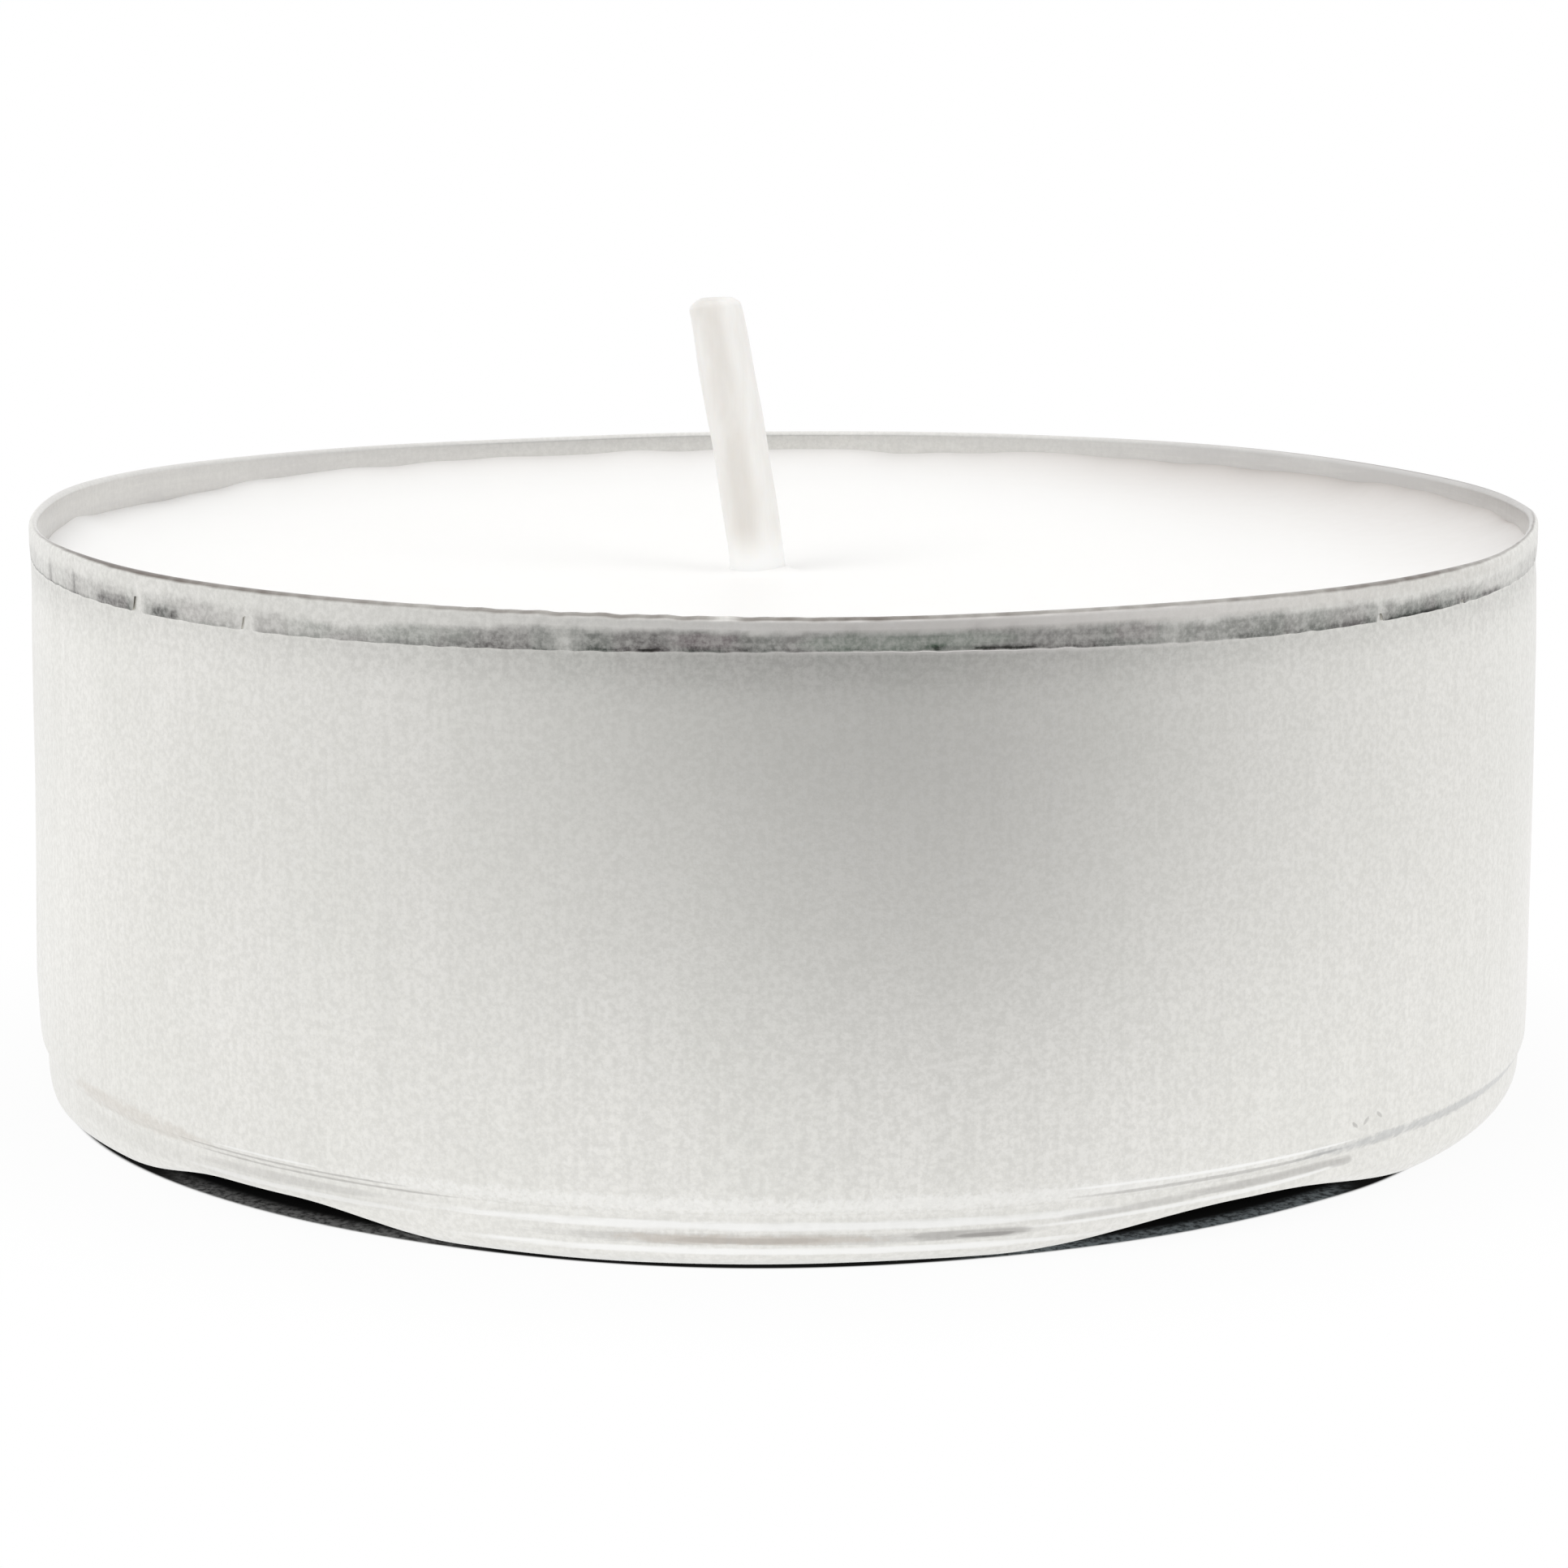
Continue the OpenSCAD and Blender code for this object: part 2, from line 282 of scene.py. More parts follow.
def cup_rings():
    """Rings of the cup's skin: the underside, the outside, over the rim and down the inside, with what to paint."""
    rings = []
    marks = {"wear": [], "shine": [], "crest": [], "inside": [], "under": []}
    lift = rim_lift()

    def add(r, z, **painted):
        r = np.broadcast_to(np.asarray(r, dtype=float), (ANGLES,))
        z = np.broadcast_to(np.asarray(z, dtype=float), (ANGLES,))
        r = r + out_of_round(z) * (1.0 - smooth(z, 13.3, 13.5))
        z = z + lift * smooth(z, 13.6, FOLD_Z)
        rings.append(np.stack([r * np.cos(theta), r * np.sin(theta), z], axis=1))
        for key, values in marks.items():
            values.append(np.broadcast_to(np.asarray(painted.get(key, 0.0), dtype=float), (ANGLES,)))

    def lifted(r, z, top, base=0.0):
        """z of the base, with its part between heights base and top pressed up by the arches."""
        return z + arch_height(r) * np.clip((top + base - z) / top, 0.0, 1.0)

    # Underside, heel, foot and shoulder
    for r in (2.0, 5.0, 8.0, 11.0, 13.5, 15.2):
        add(r, PANEL_RISE, under=1.0)
    for r, z in bend((PANEL_EDGE_R, PANEL_RISE - PANEL_R), PANEL_R, 90, 90 - PANEL_TURN, 4):
        add(r, lifted(r, z, PANEL_RISE), under=1.0)
    for r, z in bend((LAND_INNER_R, PANEL_R), PANEL_R, 270 - PANEL_TURN, 270, 4, 1):
        add(r, lifted(r, z, PANEL_RISE), under=1.0)
    add(17.5, lifted(17.5, 0.0, HEEL_R), under=1.0)
    squarer = 0.30 * bell(azimuth, -12.0, 11.0) + 0.10 * bell(azimuth, 0.0, 6.0) + 0.65 * bell(azimuth, -78.0, 20.0)
    for r, z in bend((LAND_OUTER_R, HEEL_R), HEEL_R, 270, 360, 10):
        add(r + squarer * (FOOT_R - r) / HEEL_R, lifted(r, z, HEEL_R), under=1.0 - smooth(z, 0.02, 0.3))
    add(FOOT_R, 1.08)
    for r, z in bend((FOOT_R + WAIST_R, FOOT_H), WAIST_R, 180, 180 - SHOULDER_TURN, 4):
        add(r, z)
    for r, z in bend((WALL_R - SHOULDER_R, SHOULDER_Z), SHOULDER_R, -SHOULDER_TURN, 0, 6, 1):
        add(r, z)

    # Wall, tuck and the leg behind the fold
    low_edge = fold_edge()
    front = bell(azimuth, 4.0, 34.0)
    # Wall: a darker strip low on the left, and a painted highlight low on the right side
    for z in (2.1, 3.2, 4.4, 6.0, 8.0, 10.0, 11.4):
        grey = 0.045 * bell(azimuth, -79.5, 9.0) * smooth(z, 1.5, 4.0) * (1.0 - smooth(z, 10.0, 13.0))
        grey = grey + 0.08 * bell(azimuth, -78.5, 3.2) * smooth(z, 1.4, 2.6) * (1.0 - smooth(z, 4.0, 6.2))
        add(WALL_R, z, wear=grey, shine=0.55 * bell(azimuth, 84.0, 10.0) * (1.0 - smooth(z, 4.0, 10.5)))
    # Painted shade on the wall just under the fold's edge, strongest at the front and at both sides
    shade_front = 0.3 + front + 0.5 * bell(azimuth, -1.0, 11.0) + 0.7 * bell(azimuth, -68.0, 14.0) + 0.7 * bell(azimuth, 66.0, 14.0)
    for z, shade in ((12.2, 0.0), (12.7, 0.04), (13.1, 0.12)):
        add(WALL_R - WALL_TUCK * smooth(z, 11.4, 13.4), z, wear=shade * shade_front)
    add(WALL_R - WALL_TUCK, low_edge - 0.09, wear=0.18 * shade_front)
    # Painted highlight in a thin line just under the fold's edge, near the front right
    lip = bell(azimuth, 12.0, 17.0)
    add(WALL_R - WALL_TUCK, low_edge - 0.045, wear=0.12 * shade_front, shine=0.4 * lip)
    add(WALL_R - WALL_TUCK, low_edge + 0.01, shine=0.8 * lip)
    add(WALL_R - WALL_TUCK, low_edge + 0.1)
    # Painted shade on the wall behind the fold, up into the fold
    add(TUCKED_R, FOLD_Z - 0.05, wear=0.2)
    add(TUCKED_R, FOLD_Z, wear=0.2)
    for r, z in bend((RIM_R - FOLD_R, FOLD_Z), 0.015, 180, 0, 3, 1):
        add(r, z, wear=0.2)

    # The turned-down leg: pressed in at its lower edge and round in the middle, with faint pleats
    pleats = 0.004 * mixed_waves(theta, (47, 61, 83, 97, 119), 11) + 0.003 * mixed_waves(theta, (211, 257, 307), 12)
    creases = sum(depth * bell(azimuth, centre, width) for centre, width, depth in CREASES)

    def leg(u):
        """Outer radius of the leg at share u of its height, 0 at its lower edge."""
        press = 0.038 * (1.0 - smooth(u, -0.4, 0.6)) + 0.002
        press = press + 0.045 * bell(azimuth, -79.0, 12.0) + 0.03 * bell(azimuth, 79.0, 12.0)
        return np.minimum(RIM_R - press - (pleats + 0.006) * (1.0 - 0.7 * u) - creases * (1.0 - 0.5 * u), RIM_R)

    height = FOLD_Z - low_edge
    painted_sheen_zone = bell(azimuth, 14.0, 24.0)
    for u in (0.66, 0.33, 0.0):
        add(np.maximum(leg(u) - 0.025 - 0.1 * u, WALL_R - WALL_TUCK + 0.003), low_edge + u * height)
    # The fold's outside: a painted sheen on its upper part near the front, a painted highlight along its lower edge
    # near the front right, and its wear and painted shade
    for u in (0.0, 0.015, 0.04, 0.08, 0.13, 0.21, 0.31, 0.42, 0.54, 0.67, 0.82):
        bright = 0.80 * painted_sheen_zone * smooth(u, 0.55, 0.88) + 0.9 * lip * (1.0 - smooth(u, 0.02, 0.05))
        add(leg(u), low_edge + u * height, wear=fold_wear(u), shine=bright)
    top_r = leg(1.0)
    line = crest_wear()
    ragged = 2.0 * mixed_waves(theta, (83, 119, 167, 203), 38)
    # Painted shade on the inner wall: its strength round the cup, most on the right and least at the back
    inner = 0.55 + 0.45 * bell(azimuth, 112.0, 40.0) + 0.08 * bell(azimuth, -120.0, 50.0)
    inner = inner - 0.36 * bell(azimuth, 180.0, 26.0)
    start = 14.0 + 44.0 * smooth(np.abs(azimuth), 48.0, 74.0)
    dusk = 77.0 - 40.0 * bell(azimuth, 92.0, 14.0) - 12.0 * bell(azimuth, -88.0, 14.0)
    # Over the rim: a dark line on its outside, a painted highlight on its top near the front, painted shade on its
    # inner slope at the right end, and the start of the inner wall's painted shade
    for turn in np.linspace(0.0, 180.0, 15):
        t = math.radians(turn)
        slim = (RIM_R - top_r) * (1.0 + math.cos(t)) / 2.0
        dark = smooth(turn + ragged, start, start + 26.0) * (1.0 - smooth(turn + ragged, 92.0, 108.0)) * line
        # Painted shade on the rim's inner slope at the right end
        dark = dark + 0.2 * bell(azimuth, 88.0, 18.0) * smooth(turn, 95.0, 120.0)
        back_line = 0.55 * bell(azimuth, 115.0, 20.0) * smooth(turn, 60.0, 80.0)
        dark = dark + back_line * (1.0 - smooth(turn, 100.0, 120.0))
        dim = 0.07 * (1.0 - painted_sheen_zone) * (1.0 - smooth(turn, 60.0, 90.0))
        bright = 0.75 * painted_sheen_zone * (1.0 - smooth(turn, 20.0, 50.0))
        add(RIM_R - FOLD_R + FOLD_R * math.cos(t) - slim, FOLD_Z + FOLD_R * math.sin(t), crest=dark,
            wear=dim, shine=bright, inside=inner * smooth(turn, dusk, dusk + 27.0))

    # Inside, down to the base panel, with the inner wall's painted shade
    add(TUCKED_R - FOIL, 13.95, inside=inner * 1.02)
    for r, z in bend((TUCKED_R + TUCK_R, TUCK_TOP_Z), TUCK_R + FOIL, 180, 180 + TUCK_TURN, 3):
        add(r, z, inside=np.minimum(inner * 1.25 + 0.15, 1.0))
    for r, z in bend((WALL_R - TUCK_R, TUCK_LOW_Z), TUCK_R - FOIL, TUCK_TURN, 0, 3, 1):
        add(r, z, inside=1.0)
    add(WALL_R - FOIL, 7.0, inside=1.0)
    for r, z in bend((WALL_R - SHOULDER_R, SHOULDER_Z), SHOULDER_R - FOIL, 0, -SHOULDER_TURN, 3):
        add(r, z, inside=1.0)
    for r, z in bend((FOOT_R + WAIST_R, FOOT_H), WAIST_R + FOIL, 180 - SHOULDER_TURN, 180, 3, 1):
        add(r, z, inside=1.0)
    for r, z in bend((LAND_OUTER_R, HEEL_R), HEEL_R - FOIL, 360, 270, 6):
        add(r + squarer * (FOOT_R - FOIL - r) / HEEL_R * 0.9, lifted(r, z, HEEL_R, FOIL), inside=1.0)
    for r, z in bend((LAND_INNER_R, PANEL_R), PANEL_R - FOIL, 270, 270 - PANEL_TURN, 3):
        add(r, lifted(r, z, PANEL_RISE, FOIL), inside=1.0)
    for r, z in bend((PANEL_EDGE_R, PANEL_RISE - PANEL_R), PANEL_R + FOIL, 90 - PANEL_TURN, 90, 3, 1):
        add(r, lifted(r, z, PANEL_RISE, FOIL), inside=1.0)
    for r in (11.0, 5.0):
        add(r, PANEL_RISE + FOIL, inside=1.0)
    return np.array(rings), {key: np.array(values) for key, values in marks.items()}


def build_cup():
    points, marks = cup_rings()
    made = revolved("cup_foil", points, (0, 0, PANEL_RISE), (0, 0, PANEL_RISE + FOIL))
    for name, values in marks.items():
        paint(made, name, values)
    return made


def wax_height(r, angle, turn):
    """Height of the wax: a dish that climbs at the wall, higher on the right, with a line that wanders a little."""
    base = WAX_LOW_Z + DISH_H * (r / WAX_WALL_R) ** 2
    climb = CLIMB_H * np.exp((r - WAX_WALL_R) / CLIMB_W)
    wander = 0.10 * np.cos(np.radians(turn - 118.0)) - 0.13 * bell(turn, -113.0, 9.0) - 0.05 * bell(turn, -150.0, 10.0)
    wander = wander - 0.15 * bell(turn, 168.0, 5.0) - 0.22 * bell(turn, -85.0, 8.0)
    wander = wander + 0.020 * mixed_waves(angle, (5, 7, 11), 21) + 0.014 * mixed_waves(angle, (19, 27, 38, 53), 22)
    edge = np.exp((r - WAX_WALL_R) / 0.6)
    swell = 0.012 * np.sin(r * 0.9 + 1.3 * np.cos(angle)) * np.cos(2 * angle + r * 0.21)
    return base + climb + wander * edge + swell


def wick_middle(run):
    """Place and lean of the wick's centre line at a run above its root, in millimetres and radians."""
    turn = max(run, 0.0) / WICK_BEND_R
    rise = run if run < 0 else WICK_BEND_R * math.sin(turn)
    return -WICK_BEND_R * (1.0 - math.cos(turn)), WICK_ROOT_Z + rise, turn


def build_wax():
    """The casting: its side against the foil, its dished top and a low foot where it wets the wick."""
    wax_shade = []
    wick_x = wick_middle(WAX_LOW_Z - WICK_ROOT_Z)[0]
    rings = []
    sides = ((17.0, 0.74), (LAND_OUTER_R, 0.78), (18.62, 1.3), (18.8, 2.2), (18.83, 8.0), (18.83, 12.9), (18.76, 13.25))
    for r, z in sides:
        rings.append(np.stack([r * np.cos(theta), r * np.sin(theta), np.full(ANGLES, z)], axis=1))
        wax_shade.append(np.zeros(ANGLES))
    near_wall = [18.752, 18.72, 18.66, 18.58, 18.46, 18.3, 18.0, 17.5, 16.8, 15.8]
    near_wick = [2.1, 1.6, 1.25, 1.05, 0.92, 0.84, 0.78, 0.73, 0.69, 0.66]
    for r in near_wall + list(np.linspace(14.4, 2.6, 18)) + near_wick:
        x = wick_x * (1.0 - smooth(r, 1.0, 12.0)) + r * np.cos(theta)
        y = r * np.sin(theta)
        z = wax_height(np.hypot(x, y), theta, azimuth)
        z = z + 0.16 * np.exp(-(r - WICK_R) / 0.16)
        rings.append(np.stack([x, y, z], axis=1))
        # Painted shade on the wax: darker near the wall, most towards the back and the right
        depth = np.sqrt(np.maximum(WAX_WALL_R ** 2 - x ** 2, 0.0)) - y
        zone = 0.26 * smooth(x, 1.0, 15.0) * np.exp(-depth / (3.0 + 4.0 * smooth(x, 5.0, 14.0) + 9.0 * smooth(x, 13.0, 18.0)))
        near = (0.10 * np.exp(-depth / 1.2) + 0.07 * np.exp(-(WAX_WALL_R - np.hypot(x, y)) / 0.5)) * (1.0 - 0.5 * smooth(-x, 8.0, 16.0))
        wax_shade.append(zone + near)
    made = revolved("wax_fill", np.array(rings), (0, 0, 0.74), (wick_x, 0, WAX_LOW_Z))
    paint(made, "wax_shade", np.array(wax_shade))
    return made


WICK_AROUND = 96
WICK_STEPS = 420
CUT_Z = 19.712
CUT_TILT = 3.0


def build_wick():
    """Strands wound both ways under a coat of wax, upright in the tab, then leaning, and cut off nearly level."""
    around = np.arange(WICK_AROUND) * 2 * math.pi / WICK_AROUND
    reach = np.cos(around)
    left = np.maximum(-reach, 0.0) ** 2
    right = np.maximum(reach, 0.0) ** 2
    corner_h = 0.13 + 0.13 * left + 0.04 * right
    corner_w = 0.15 + 0.18 * left + 0.05 * right
    slope = math.tan(math.radians(CUT_TILT))
    span = WICK_BEND_R + WICK_R * reach
    top_run = WICK_BEND_R * np.arcsin((CUT_Z + WICK_R * reach * slope - corner_h - WICK_ROOT_Z) / span)
    rings, strand, height = [], [], []

    def keep(x, y, z, weave, run):
        rings.append(np.stack([x, y, z], axis=1))
        strand.append(np.broadcast_to(weave, (WICK_AROUND,)))
        height.append(np.broadcast_to(run, (WICK_AROUND,)))

    straight = np.linspace(WICK_FOOT_Z - WICK_ROOT_Z, 0.0, 10)[:-1]
    for run in [np.full(WICK_AROUND, depth) for depth in straight] + [s * top_run for s in np.linspace(0, 1, WICK_STEPS)]:
        turn = np.maximum(run, 0.0) / WICK_BEND_R
        weave = np.maximum(np.cos(5 * around + 2 * math.pi * run / 2.6), np.cos(5 * around - 2 * math.pi * run / 2.6))
        lumps = 0.004 * np.sin(run * 2.9) + 0.003 * np.cos(around * 2 + run * 1.7)
        swell = smooth(run, 8.6, 9.6) * (1.0 - smooth(run, 14.6, 16.4))
        radius = WICK_R - 0.010 - 0.005 * (1.0 - weave) + lumps + 0.036 * swell
        rise = np.where(run < 0, run, WICK_BEND_R * np.sin(turn))
        x = -WICK_BEND_R * (1.0 - np.cos(turn)) + radius * reach * np.cos(turn) - 0.045 * swell
        keep(x, radius * np.sin(around), WICK_ROOT_Z + rise + radius * reach * np.sin(turn), weave, run)

    # The cut: worn corners, larger on the left, and a nearly level top
    last_turn = top_run.mean() / WICK_BEND_R
    middle = -WICK_BEND_R * (1.0 - math.cos(last_turn))

    def capped(radius, drop):
        z = CUT_Z + radius * reach * slope - drop
        turn = np.arcsin((z - WICK_ROOT_Z) / WICK_BEND_R)
        x = -WICK_BEND_R * (1.0 - np.cos(turn)) + radius * reach / math.cos(last_turn)
        keep(x, radius * np.sin(around), z, 1.0, top_run)

    for t in np.radians((18.0, 36.0, 54.0, 72.0, 90.0)):
        cut = 0.5 * (1.0 - math.cos(t)) + 0.5 * t / (math.pi / 2)
        rise = 0.5 * math.sin(t) + 0.5 * t / (math.pi / 2)
        capped(WICK_R - 0.012 - corner_w * cut, corner_h * (1.0 - rise))
    for share in (0.8, 0.5, 0.2):
        capped((WICK_R - corner_w) * share, 0.004 + 0.004 * np.cos(3 * around + share * 4.0))
    made = revolved("wick_braid", np.array(rings), (0, 0, WICK_FOOT_Z), (middle, 0.0, CUT_Z - 0.004))
    paint(made, "weave", np.array(strand), 1.0, 1.0)
    paint(made, "run", np.array(height), 0.0, top_run.mean())
    return made


class Graph:
    """Short calls for making and joining nodes."""

    def __init__(self, tree):
        self.tree = tree

    def add(self, kind, **settings):
        made = self.tree.nodes.new(kind)
        for key, value in settings.items():
            setattr(made, key, value)
        return made

    def join(self, source, target):
        self.tree.links.new(source, target)

    def feed(self, socket, value):
        if isinstance(value, bpy.types.NodeSocket):
            self.join(value, socket)
        else:
            socket.default_value = value

    def attribute(self, name):
        return self.add("ShaderNodeAttribute", attribute_name=name).outputs["Fac"]

    def place(self):
        return self.add("ShaderNodeTexCoord").outputs["Object"]

    def math(self, operation, a, b=0.0, clamp=False):
        made = self.add("ShaderNodeMath", operation=operation, use_clamp=clamp)
        self.feed(made.inputs[0], a)
        self.feed(made.inputs[1], b)
        return made.outputs[0]

    def total(self, values):
        result = values[0]
        for value in values[1:]:
            result = self.math("ADD", result, value)
        return result

    def span(self, value, low, high, to_low=0.0, to_high=1.0):
        made = self.add("ShaderNodeMapRange", clamp=True, interpolation_type="SMOOTHSTEP")
        for socket, item in zip(made.inputs, (value, low, high, to_low, to_high)):
            self.feed(socket, item)
        return made.outputs[0]

    def noise(self, scale, detail=2.0, rough=0.5):
        made = self.add("ShaderNodeTexNoise")
        mapping = self.add("ShaderNodeMapping")
        self.join(self.place(), mapping.inputs["Vector"])
        mapping.inputs["Scale"].default_value = scale
        self.join(mapping.outputs["Vector"], made.inputs["Vector"])
        made.inputs["Scale"].default_value = 1.0
        made.inputs["Detail"].default_value = detail
        made.inputs["Roughness"].default_value = rough
        return made.outputs["Fac"]

    def mix(self, share, a, b):
        made = self.add("ShaderNodeMix", data_type="RGBA")
        self.feed(made.inputs[0], share)
        self.feed(made.inputs[6], a)
        self.feed(made.inputs[7], b)
        return made.outputs[2]

    def bump(self, height, distance, strength, under=None):
        made = self.add("ShaderNodeBump")
        self.join(height, made.inputs["Height"])
        made.inputs["Distance"].default_value = distance
        made.inputs["Strength"].default_value = strength
        if under is not None:
            self.join(under, made.inputs["Normal"])
        return made.outputs["Normal"]


def new_material(name):
    material = bpy.data.materials.new(name)
    material.use_nodes = True
    tree = material.node_tree
    tree.nodes.clear()
    out = tree.nodes.new("ShaderNodeOutputMaterial")
    shader = tree.nodes.new("ShaderNodeBsdfPrincipled")
    tree.links.new(shader.outputs["BSDF"], out.inputs["Surface"])
    return material, shader, Graph(tree)


def colour(r, g, b):
    return (r, g, b, 1.0)


# Marks on the wall and foot, some rubbed and some painted light or shade: azimuth, half width, height in millimetres,
# half height, slope of the mark in millimetres a degree, strength
# Grey: rubbed marks on the shoulder and hook scratches, a darker band low on the front of the foot, and painted shade
# lines in the groove above the foot
GREY_MARKS_AND_SHADE = (
    (-2.5, 5.5, 0.70, 0.09, 0.0, 0.62), (0.0, 17.0, 0.72, 0.13, 0.0, 0.34), (12.3, 4.4, 0.73, 0.12, 0.0, 0.62), (13.6, 2.2, 0.70, 0.07, 0.0, 0.90),
    (25.0, 6.5, 1.00, 0.09, 0.016, 0.36), (42.4, 1.3, 1.10, 0.10, 0.0, 0.5), (35.5, 8.0, 1.12, 0.10, 0.003, 0.46), (31.0, 11.5, 1.42, 0.05, 0.003, 0.48),
    (-37.0, 11.0, 1.41, 0.028, 0.0, 0.50), (-34.0, 12.0, 1.28, 0.03, 0.0, 0.50),
    (-37.0, 9.0, 1.05, 0.11, 0.0, 0.26), (-45.0, 20.0, 0.90, 0.26, 0.0, 0.10), (0.0, 60.0, 1.29, 0.026, 0.0, 0.05),
    (43.3, 0.3, 1.93, 0.05, -0.2, 0.45), (44.5, 0.3, 1.96, 0.06, 0.2, 0.40), (46.0, 0.3, 2.02, 0.05, -0.2, 0.40),
    (150.0, 14.0, 1.3, 0.06, 0.0, 0.2), (-140.0, 11.0, 0.85, 0.12, 0.0, 0.2),
)
SLATE_MARKS = (
    (57.0, 19.0, 1.42, 0.15, -0.002, 0.40),
)
BROWN_MARKS = (
    (-54.0, 10.0, 1.50, 0.25, -0.004, 0.28), (96.0, 7.0, 1.36, 0.1, 0.0, 0.25), (-2.0, 9.0, 0.72, 0.12, 0.0, 0.42),
    (34.0, 34.0, 14.15, 0.16, 0.0, 0.10),
)
# Bright: painted highlights in bands along the foot and the shoulder, at the front, the sides and the back
PAINTED_HIGHLIGHTS = (
    (0.0, 25.0, 1.02, 0.10, 0.0, 0.90), (0.0, 22.0, 0.44, 0.09, 0.0, 0.95), (31.0, 12.0, 1.60, 0.035, 0.0, 0.95),
    (30.0, 13.0, 0.92, 0.05, 0.010, 0.80), (-38.0, 5.0, 1.53, 0.03, 0.0, 0.7), (-36.0, 11.0, 0.84, 0.06, 0.0, 0.60),
    (180.0, 80.0, 1.02, 0.08, 0.0, 0.5), (180.0, 80.0, 0.45, 0.08, 0.0, 0.5),
)
# Bright flecks along the shoulder, front and back: rubbed flecks with the shoulder's painted highlight
SHOULDER_FLECKS_AND_HIGHLIGHT = (
    (4.0, 34.0, 1.50, 0.20, 0.0, 0.35), (180.0, 80.0, 1.55, 0.16, 0.0, 0.3),
)
GREEN_MARKS = (
    (8.0, 7.0, 13.85, 0.22, 0.0, 0.55), (-27.0, 7.0, 13.8, 0.2, 0.0, 0.2),
)
PLUM_MARKS = (
    (-5.2, 2.2, 13.88, 0.2, 0.0, 0.5), (23.6, 1.6, 13.85, 0.22, 0.0, 0.4), (-42.0, 3.5, 13.72, 0.2, 0.0, 0.3),
)


def marks(g, turn, height, table, wobble):
    """One mask from a table of marks, each a soft long patch round the cup."""
    masks = []
    for centre, width, z, half, slope, strength in table:
        along = g.math("SUBTRACT", turn, centre)
        if abs(centre) + width > 180.0:
            along = g.math("SUBTRACT", g.math("FLOORED_MODULO", g.math("ADD", along, 180.0), 360.0), 180.0)
        up = g.math("SUBTRACT", height, z)
        if slope:
            up = g.math("SUBTRACT", up, g.math("MULTIPLY", along, slope))
        far = g.math("POWER", g.math("ABSOLUTE", g.math("DIVIDE", along, width)), 4.0)
        off = g.math("POWER", g.math("ABSOLUTE", g.math("DIVIDE", up, half)), 2.0)
        gap = g.total([far, off, wobble])
        masks.append(g.span(gap, 1.5, 0.1, 0.0, strength))
    result = masks[0]
    for mask in masks[1:]:
        result = g.math("MAXIMUM", result, mask)
    return result


